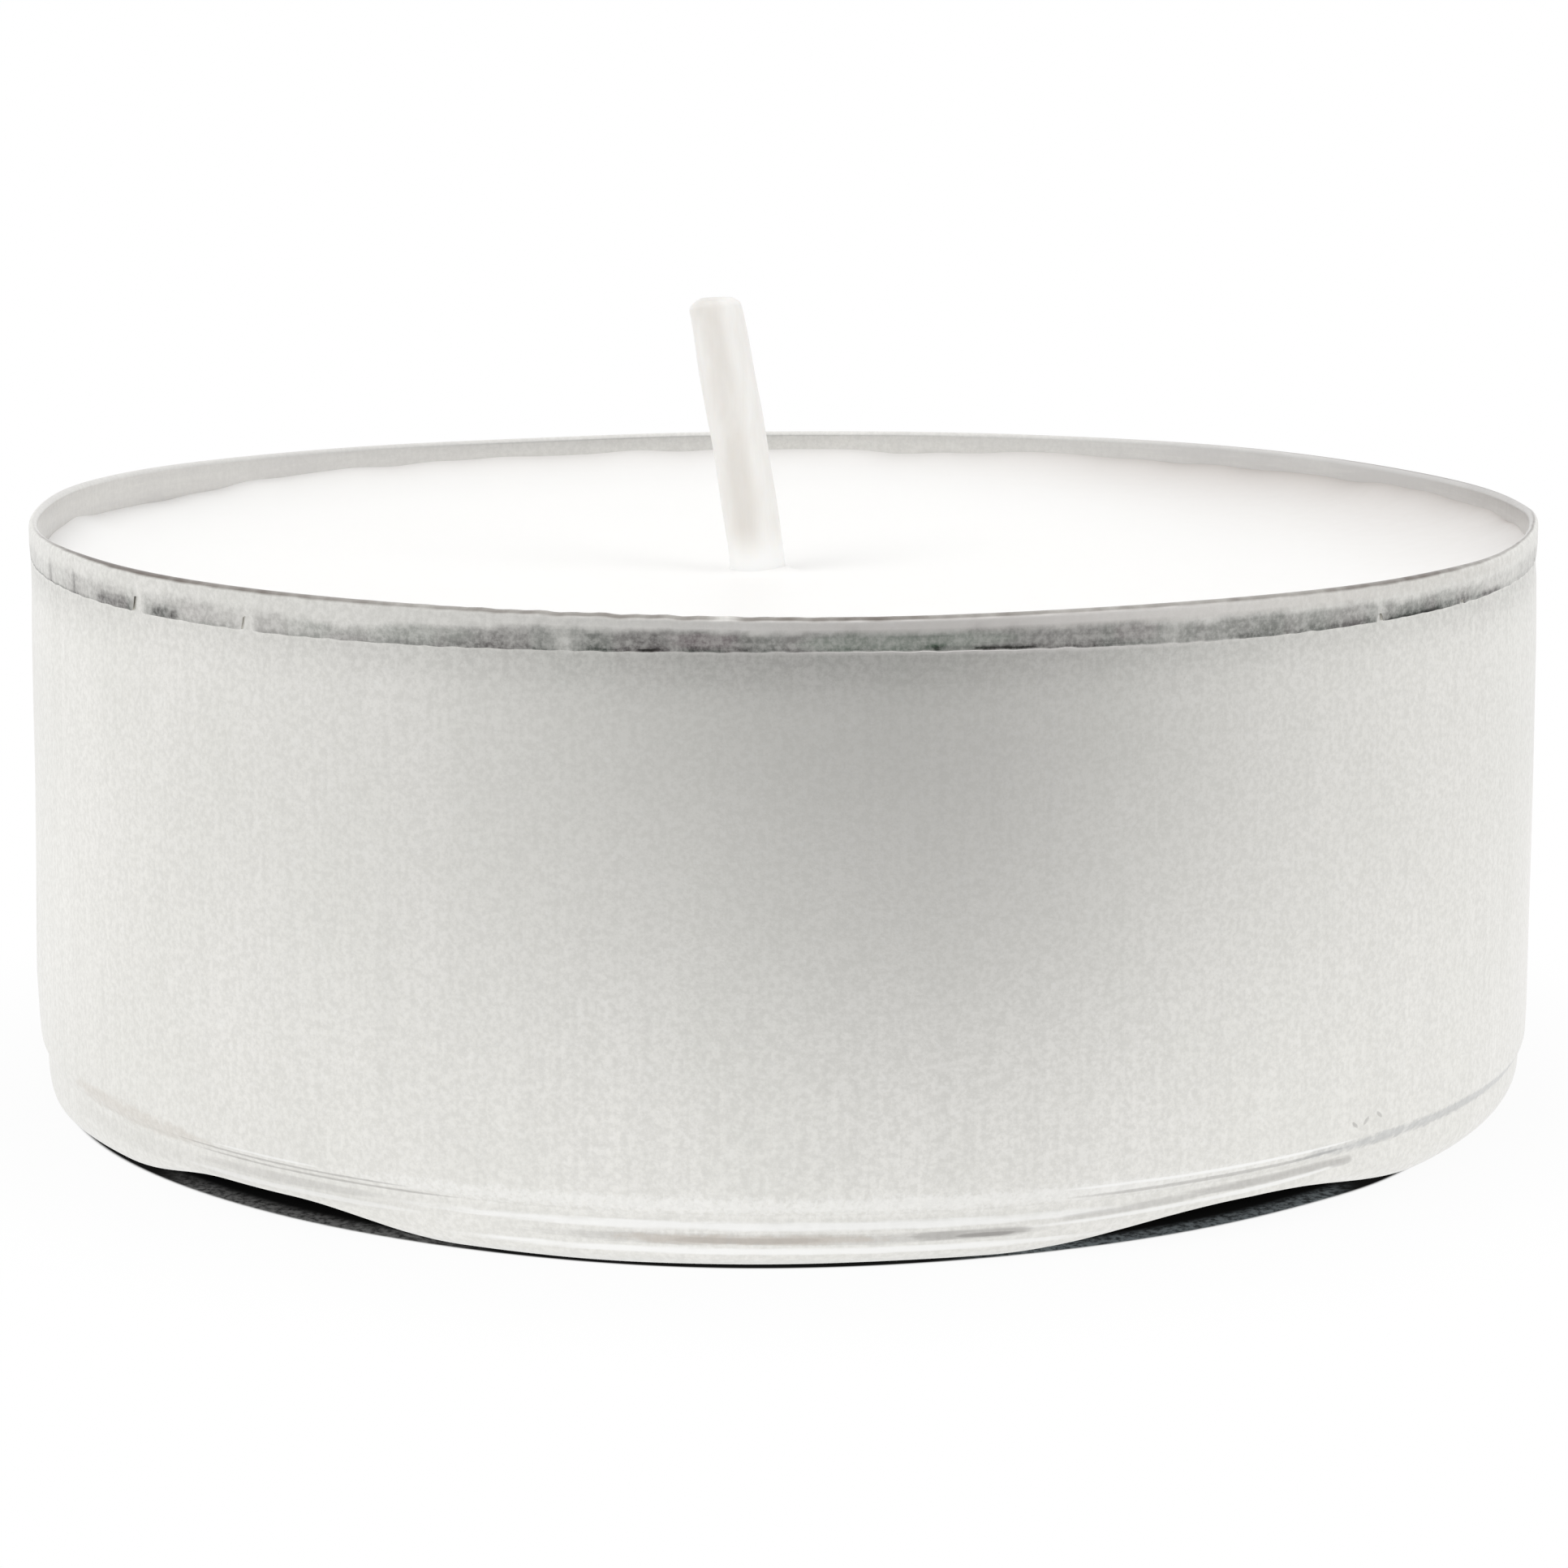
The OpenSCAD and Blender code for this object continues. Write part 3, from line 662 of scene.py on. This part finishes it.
def foil_material():
    material, shader, g = new_material("foil_satin")
    wear = g.attribute("wear")
    crest = g.attribute("crest")
    inside = g.attribute("inside")
    under = g.attribute("under")
    shine = g.attribute("shine")
    apart = g.add("ShaderNodeSeparateXYZ")
    g.join(g.place(), apart.inputs[0])
    turn = g.math("ARCTAN2", apart.outputs["X"], g.math("MULTIPLY", apart.outputs["Y"], -1.0))
    turn = g.math("MULTIPLY", turn, 180.0 / math.pi)
    height = g.math("MULTIPLY", apart.outputs["Z"], 1.0 / MM)

    lines = g.noise((5600.0, 5600.0, 130.0), 3.0, 0.65)
    bands = g.noise((900.0, 900.0, 60.0), 2.0, 0.5)
    broad = g.noise((300.0, 300.0, 190.0), 3.0, 0.55)
    grain = g.noise((7000.0, 7000.0, 7000.0), 3.0, 0.7)
    flecks = g.noise((3800.0, 3800.0, 5200.0), 3.0, 0.6)
    streaks = g.noise((700.0, 700.0, 9000.0), 3.0, 0.6)
    wobble = g.math("MULTIPLY", g.math("SUBTRACT", streaks, 0.5), 2.2)
    fine = g.noise((11000.0, 11000.0, 11000.0), 2.0, 0.6)
    speck = g.math("MULTIPLY", g.math("SUBTRACT", fine, 0.5), 6.0)
    blotch = g.math("ADD", g.math("MULTIPLY", wobble, 0.5), g.math("MULTIPLY", g.math("SUBTRACT", flecks, 0.5), 2.4))

    base = g.mix(g.span(broad, 0.3, 0.7), colour(0.858, 0.850, 0.812), colour(0.888, 0.876, 0.842))
    base = g.mix(g.span(lines, 0.38, 0.66, 0.0, 0.12), base, colour(0.715, 0.71, 0.68))
    base = g.mix(g.span(bands, 0.35, 0.7, 0.0, 0.08), base, colour(0.775, 0.77, 0.74))
    base = g.mix(g.span(grain, 0.34, 0.66, 0.0, 0.44), base, colour(0.672, 0.665, 0.63))
    base = g.mix(g.span(flecks, 0.55, 0.75, 0.0, 0.25), base, colour(0.93, 0.93, 0.91))
    # Painted highlights: on the right side of the wall, in a line under the fold's edge, and a painted sheen on the
    # fold and crest near the front
    base = g.mix(shine, base, colour(0.97, 0.94, 0.92))
    base = g.mix(marks(g, turn, height, SHOULDER_FLECKS_AND_HIGHLIGHT, speck), base, colour(0.97, 0.97, 0.955))
    base = g.mix(marks(g, turn, height, PAINTED_HIGHLIGHTS, wobble), base, colour(0.97, 0.97, 0.955))
    base = g.mix(marks(g, turn, height, GREY_MARKS_AND_SHADE, wobble), base, colour(0.34, 0.327, 0.315))
    base = g.mix(marks(g, turn, height, SLATE_MARKS, blotch), base, colour(0.32, 0.335, 0.355))
    base = g.mix(marks(g, turn, height, BROWN_MARKS, blotch), base, colour(0.56, 0.49, 0.42))
    # Scuffs with painted shade and painted dark reflection, from the wear attribute: tinted, and near black where
    # strongest
    rubbed = g.total([g.math("MULTIPLY", grain, 0.6), g.math("MULTIPLY", streaks, 0.3), g.math("MULTIPLY", lines, 0.1)])
    wear_and_shade_share = g.math("MULTIPLY", wear, g.span(rubbed, 0.36, 0.64, 0.76, 1.20))
    tint = g.mix(g.span(bands, 0.4, 0.6), colour(0.105, 0.115, 0.105), colour(0.115, 0.105, 0.105))
    tint = g.mix(marks(g, turn, height, GREEN_MARKS, wobble), tint, colour(0.07, 0.15, 0.09))
    tint = g.mix(marks(g, turn, height, PLUM_MARKS, wobble), tint, colour(0.15, 0.08, 0.11))
    base = g.mix(wear_and_shade_share, base, tint)
    base = g.mix(g.span(wear, 0.84, 1.0, 0.0, 0.85), base, colour(0.015, 0.015, 0.012))
    # Painted shade on the inner wall, darker down towards the wax
    dimmed = g.math("MULTIPLY", inside, g.span(g.math("ADD", broad, streaks), 0.75, 1.25, 0.86, 1.08))
    base = g.mix(dimmed, base, colour(0.600, 0.588, 0.577))
    base = g.mix(g.math("MULTIPLY", under, 0.5), base, colour(0.72, 0.73, 0.72))
    # Dark line along the rim's crest, with painted shade on its inner slope at the right end
    base = g.mix(crest, base, colour(0.12, 0.095, 0.08))
    g.join(base, shader.inputs["Base Color"])
    mixed = g.total([g.math("MULTIPLY", lines, 0.5), g.math("MULTIPLY", grain, 0.5)])
    g.join(g.math("ADD", g.span(mixed, 0.35, 0.65, 0.29, 0.37), g.math("MULTIPLY", wear, 0.12)), shader.inputs["Roughness"])
    shader.inputs["Metallic"].default_value = 1.0
    drawn = g.bump(lines, 0.000004, 0.5)
    g.join(g.bump(grain, 0.000004, 0.55, drawn), shader.inputs["Normal"])
    return material


def wax_material():
    material, shader, g = new_material("wax_paraffin")
    cloud = g.noise((120.0, 120.0, 120.0), 3.0, 0.5)
    pores = g.noise((2600.0, 2600.0, 2600.0), 2.0, 0.6)
    base = g.mix(cloud, colour(0.972, 0.963, 0.947), colour(0.986, 0.980, 0.966))
    # Painted shade on the wax near the wall, a warm grey
    base = g.mix(g.attribute("wax_shade"), base, colour(0.16, 0.085, 0.04))
    g.join(base, shader.inputs["Base Color"])
    g.join(g.span(pores, 0.3, 0.7, 0.40, 0.54), shader.inputs["Roughness"])
    g.join(g.bump(pores, 0.00001, 0.3, g.bump(cloud, 0.00006, 0.4)), shader.inputs["Normal"])
    shader.inputs["IOR"].default_value = 1.44
    shader.inputs["Subsurface Weight"].default_value = 0.15
    shader.inputs["Subsurface Radius"].default_value = (0.0008, 0.0008, 0.0008)
    shader.inputs["Subsurface Scale"].default_value = 1.0
    return material


def wick_material():
    material, shader, g = new_material("wick_waxed_cotton")
    weave = g.attribute("weave")
    run = g.attribute("run")
    apart = g.add("ShaderNodeSeparateXYZ")
    g.join(g.place(), apart.inputs[0])
    mottle = g.noise((900.0, 900.0, 420.0), 3.0, 0.55)
    fibre = g.noise((6500.0, 6500.0, 700.0), 2.0, 0.6)
    # The streak follows the wick's bend, a little left of its middle
    lean = g.math("DIVIDE", g.math("MULTIPLY", run, run), -2.0 * WICK_BEND_R)
    side = g.math("SUBTRACT", g.math("MULTIPLY", apart.outputs["X"], 1.0 / MM), lean)
    side = g.math("ADD", side, g.math("MULTIPLY", g.math("SUBTRACT", mottle, 0.5), 0.35))
    streak = g.math("MULTIPLY", g.span(side, -0.66, -0.24), g.span(side, 0.34, -0.04))
    streak = g.math("MULTIPLY", streak, g.span(mottle, 0.36, 0.62, 0.35, 0.75))
    base = g.mix(g.span(fibre, 0.3, 0.7), colour(0.862, 0.848, 0.822), colour(0.886, 0.876, 0.855))
    base = g.mix(streak, base, colour(0.72, 0.69, 0.65))
    base = g.mix(g.span(weave, -0.2, 0.8, 0.10, 0.0), base, colour(0.78, 0.75, 0.70))
    base = g.mix(g.span(run, 10.9, 9.7), base, colour(0.965, 0.962, 0.952))
    g.join(base, shader.inputs["Base Color"])
    g.join(g.span(fibre, 0.3, 0.7, 0.45, 0.6), shader.inputs["Roughness"])
    g.join(g.bump(fibre, 0.000010, 0.5), shader.inputs["Normal"])
    shader.inputs["IOR"].default_value = 1.44
    shader.inputs["Subsurface Weight"].default_value = 0.2
    shader.inputs["Subsurface Radius"].default_value = (0.0006, 0.0005, 0.0004)
    shader.inputs["Subsurface Scale"].default_value = 1.0
    return material


def tab_material():
    material, shader, g = new_material("tab_tinned_steel")
    rolled = g.noise((300.0, 6000.0, 300.0), 3.0, 0.6)
    spangle = g.noise((1400.0, 1400.0, 1400.0), 2.0, 0.5)
    g.join(g.mix(spangle, colour(0.62, 0.63, 0.64), colour(0.74, 0.75, 0.75)), shader.inputs["Base Color"])
    g.join(g.span(rolled, 0.3, 0.7, 0.24, 0.42), shader.inputs["Roughness"])
    g.join(g.bump(rolled, 0.000005, 0.5), shader.inputs["Normal"])
    shader.inputs["Metallic"].default_value = 1.0
    return material


# Light: how dark the metal sees the front of the room, where a camera and its stand would be
FRONT_AZIMUTH = 12.9
FRONT_DARK = 0.425
FRONT_POWER = 3.07
STAND_AZIMUTH = 18.2
STAND_DARK = 0.105
STAND_SHARP = 20.5
BACK_BRIGHT = 0.12
SIDE_LEVEL = 1.015
FAR_DARK = 0.085


def lobes(g, vector):
    """How much a direction is to the front, to the stand in front, and to the back."""
    level = g.add("ShaderNodeVectorMath", operation="MULTIPLY")
    g.join(vector, level.inputs[0])
    level.inputs[1].default_value = (1.0, 1.0, 0.0)
    unit = g.add("ShaderNodeVectorMath", operation="NORMALIZE")
    g.join(level.outputs["Vector"], unit.inputs[0])
    cosines = []
    for centre in (FRONT_AZIMUTH, STAND_AZIMUTH):
        dot = g.add("ShaderNodeVectorMath", operation="DOT_PRODUCT")
        g.join(unit.outputs["Vector"], dot.inputs[0])
        turn = math.radians(centre)
        dot.inputs[1].default_value = (math.sin(turn), -math.cos(turn), 0.0)
        cosines.append(dot.outputs["Value"])
    broad, narrow = cosines
    front = g.math("POWER", g.math("DIVIDE", g.math("ADD", broad, 0.5), 1.5, clamp=True), FRONT_POWER)
    stand = g.math("EXPONENT", g.math("MULTIPLY", g.math("SUBTRACT", narrow, 1.0), STAND_SHARP))
    return front, stand, g.span(broad, 0.0, -0.9)


def metal_level(g, direction, reach, stand_share):
    """Brightness that the metal sees: SIDE_LEVEL, less far away and in front, and a little more behind."""
    front, stand, back = lobes(g, direction)
    dark = g.math("MULTIPLY", reach, g.math("ADD", g.math("MULTIPLY", front, FRONT_DARK), FAR_DARK))
    stand = g.math("MULTIPLY", g.math("MULTIPLY", stand, stand_share), STAND_DARK)
    level = g.math("SUBTRACT", g.math("SUBTRACT", SIDE_LEVEL, dark), stand)
    return g.math("ADD", level, g.math("MULTIPLY", back, BACK_BRIGHT))


def shown_rays(g):
    rays = g.add("ShaderNodeLightPath")
    plain = g.math("MAXIMUM", rays.outputs["Is Camera Ray"], rays.outputs["Is Transmission Ray"])
    return plain, rays.outputs["Is Glossy Ray"]


FLOOR_SIZE = 1.6
# Painted shadow on the floor under the cup: its middle and the circle where it fades to white
SHADE_MIDDLE = (-0.23 * MM, -0.07 * MM, 0.0)
SHADE_INNER = 18.10 * MM
SHADE_OUTER = 18.24 * MM
# The shade's reach past its circle, in front and at both sides: place across, width, reach
SHADE_REACHES = (
    (-1.5 * MM, 5.5 * MM, 0.26 * MM), (-16.6 * MM, 2.6 * MM, 0.07 * MM), (13.9 * MM, 1.4 * MM, 0.12 * MM),
)
MIRRORED_INNER = 17.3 * MM
MIRRORED_OUTER = 17.7 * MM
LOBE_NEAR = 27.0 * MM
LOBE_FAR = 71.0 * MM
STAND_NEAR = 70.0 * MM
STAND_FAR = 110.0 * MM
FLOOR_GREY = 0.86
# Painted shadow colour under the cup, and the painted lit grey of the floor seen through the arches, cooler on the
# right
UNDER_GREY = 0.012
GAP_LEFT = colour(0.18, 0.18, 0.18)
GAP_RIGHT = colour(0.195, 0.22, 0.235)


def floor_material():
    """White floor: lit and shaded under and beside the cup, with a painted shadow under the cup and a painted lit grey
    in the arches' gaps, and plain white as background and as the metal sees it.
    """
    material = bpy.data.materials.new("floor_white")
    material.use_nodes = True
    material.node_tree.nodes.clear()
    g = Graph(material.node_tree)
    out = g.add("ShaderNodeOutputMaterial")
    moved = g.add("ShaderNodeVectorMath", operation="SUBTRACT")
    g.join(g.place(), moved.inputs[0])
    moved.inputs[1].default_value = SHADE_MIDDLE
    length = g.add("ShaderNodeVectorMath", operation="LENGTH")
    g.join(moved.outputs["Vector"], length.inputs[0])
    # The shade reaches a little farther at the front foot, which stands closest, and at the sides
    apart = g.add("ShaderNodeSeparateXYZ")
    g.join(g.place(), apart.inputs[0])
    reaches = []
    for centre, width, reach in SHADE_REACHES:
        across = g.math("DIVIDE", g.math("SUBTRACT", apart.outputs["X"], centre), width)
        reaches.append(g.math("EXPONENT", g.math("MULTIPLY", g.math("POWER", g.math("ABSOLUTE", across), 2.0), -1.0)))
    front_foot = g.math("MULTIPLY", reaches[0], g.math("LESS_THAN", apart.outputs["Y"], 0.0))
    farther = g.total([g.math("MULTIPLY", item, row[2]) for item, row in zip([front_foot] + reaches[1:], SHADE_REACHES)])
    away = g.math("SUBTRACT", length.outputs["Value"], farther)
    clear = g.span(away, SHADE_INNER, SHADE_OUTER)
    specks = g.noise((5200.0, 5200.0, 5200.0), 3.0, 0.7)
    # Painted light: speckled grey on the floor in the arches' gaps, kept dark at the front foot and at the sides
    lit = g.math("MULTIPLY", g.span(away, 17.4 * MM, 17.85 * MM), g.span(specks, 0.35, 0.65, 0.2, 1.3))
    lit = g.math("MULTIPLY", lit, g.span(front_foot, 0.5, 0.1))
    lit = g.math("MULTIPLY", lit, g.span(reaches[1], 0.6, 0.1))
    lit = g.math("MULTIPLY", lit, g.span(reaches[2], 0.9, 0.2))
    gap = g.mix(g.span(apart.outputs["X"], -4.0 * MM, 4.0 * MM), GAP_LEFT, GAP_RIGHT)
    under = g.mix(lit, colour(UNDER_GREY, UNDER_GREY, UNDER_GREY), gap)
    matt = g.add("ShaderNodeBsdfDiffuse")
    g.join(g.mix(clear, under, colour(FLOOR_GREY, FLOOR_GREY, FLOOR_GREY)), matt.inputs["Color"])
    plain, glossy = shown_rays(g)
    stand_share = g.math("MULTIPLY", g.span(away, STAND_NEAR, STAND_FAR, 1.0, 0.0), g.span(away, 22.0 * MM, 44.0 * MM, 0.4, 1.0))
    level = metal_level(g, g.place(), g.span(away, LOBE_NEAR, LOBE_FAR), stand_share)
    glow = g.add("ShaderNodeEmission")
    strength = g.math("ADD", g.math("MULTIPLY", plain, 1.0), g.math("MULTIPLY", glossy, level))
    g.join(strength, glow.inputs["Strength"])
    share = g.math("MULTIPLY", g.math("MULTIPLY", plain, clear), g.span(away, SHADE_OUTER, 26.0 * MM, 0.92, 1.0))
    share = g.math("ADD", share, g.math("MULTIPLY", glossy, g.span(away, MIRRORED_INNER, MIRRORED_OUTER)))
    blend = g.add("ShaderNodeMixShader")
    g.join(share, blend.inputs[0])
    g.join(matt.outputs[0], blend.inputs[1])
    g.join(glow.outputs[0], blend.inputs[2])
    g.join(blend.outputs[0], out.inputs["Surface"])
    return material


def build_floor():
    half = FLOOR_SIZE / 2
    mesh = bpy.data.meshes.new("floor")
    mesh.from_pydata([(-half, -half, 0), (half, -half, 0), (half, half, 0), (-half, half, 0)], [], [(0, 1, 2, 3)])
    floor = bpy.data.objects.new("floor", mesh)
    bpy.context.scene.collection.objects.link(floor)
    mesh.materials.append(floor_material())


FILL_LEVEL = 0.815


def build_world():
    world = bpy.data.worlds.new("studio")
    bpy.context.scene.world = world
    world.use_nodes = True
    world.node_tree.nodes.clear()
    g = Graph(world.node_tree)
    out = g.add("ShaderNodeOutputWorld")
    direction = g.add("ShaderNodeTexCoord").outputs["Generated"]
    apart = g.add("ShaderNodeSeparateXYZ")
    g.join(direction, apart.inputs[0])
    plain, glossy = shown_rays(g)
    level = metal_level(g, direction, g.span(apart.outputs["Z"], 0.75, 0.25), 0.0)
    other = g.math("SUBTRACT", g.math("SUBTRACT", 1.0, plain), glossy, clamp=True)
    parts = [plain, g.math("MULTIPLY", glossy, level), g.math("MULTIPLY", other, FILL_LEVEL)]
    sky = g.add("ShaderNodeBackground")
    sky.inputs["Color"].default_value = colour(1.0, 1.0, 1.0)
    g.join(g.total(parts), sky.inputs["Strength"])
    g.join(sky.outputs[0], out.inputs["Surface"])


def build_lamp(name, place, size, power):
    data = bpy.data.lights.new(name, "AREA")
    data.shape = "DISK"
    data.size = size
    data.energy = power
    made = bpy.data.objects.new(name, data)
    bpy.context.scene.collection.objects.link(made)
    made.location = place
    aim = Vector((0.0, 0.0, 8.0 * MM)) - Vector(place)
    made.rotation_euler = aim.to_track_quat("-Z", "Y").to_euler()
    made.visible_glossy = False


# Camera at the photograph's place
CAMERA_BACK = 108.38 * MM
CAMERA_HEIGHT = 27.69 * MM
CAMERA_DOWN = 8.571
SENSOR = 36.0
LENS = 98.29
SHIFT_X = 0.00057
SHIFT_Y = -0.1014


def build_camera():
    data = bpy.data.cameras.new("camera")
    camera = bpy.data.objects.new("camera", data)
    bpy.context.scene.collection.objects.link(camera)
    data.sensor_width = SENSOR
    data.lens = LENS
    data.shift_x = SHIFT_X
    data.shift_y = SHIFT_Y
    data.clip_start = 1.0 * MM
    data.clip_end = 10.0
    camera.location = (0.0, -CAMERA_BACK, CAMERA_HEIGHT)
    camera.rotation_euler = (math.radians(90.0 - CAMERA_DOWN), 0.0, 0.0)
    bpy.context.scene.camera = camera


def dress(piece, material, node):
    piece.data.materials.append(material)
    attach(piece, ROOT)
    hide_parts(node)


dress(build_cup(), foil_material(), "cup")
dress(build_wax(), wax_material(), "wax")
dress(build_wick(), wick_material(), "wick")
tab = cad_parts["wick_tab"]
tab.data.materials.clear()
tab.data.materials.append(tab_material())

build_floor()
build_world()
build_lamp("key_soft", (-0.35, -0.3, 0.55), 0.4, 1.0)
build_lamp("fill_soft", (0.4, -0.25, 0.4), 0.4, 0.5)
build_camera()
bpy.context.scene.view_settings.view_transform = "Standard"
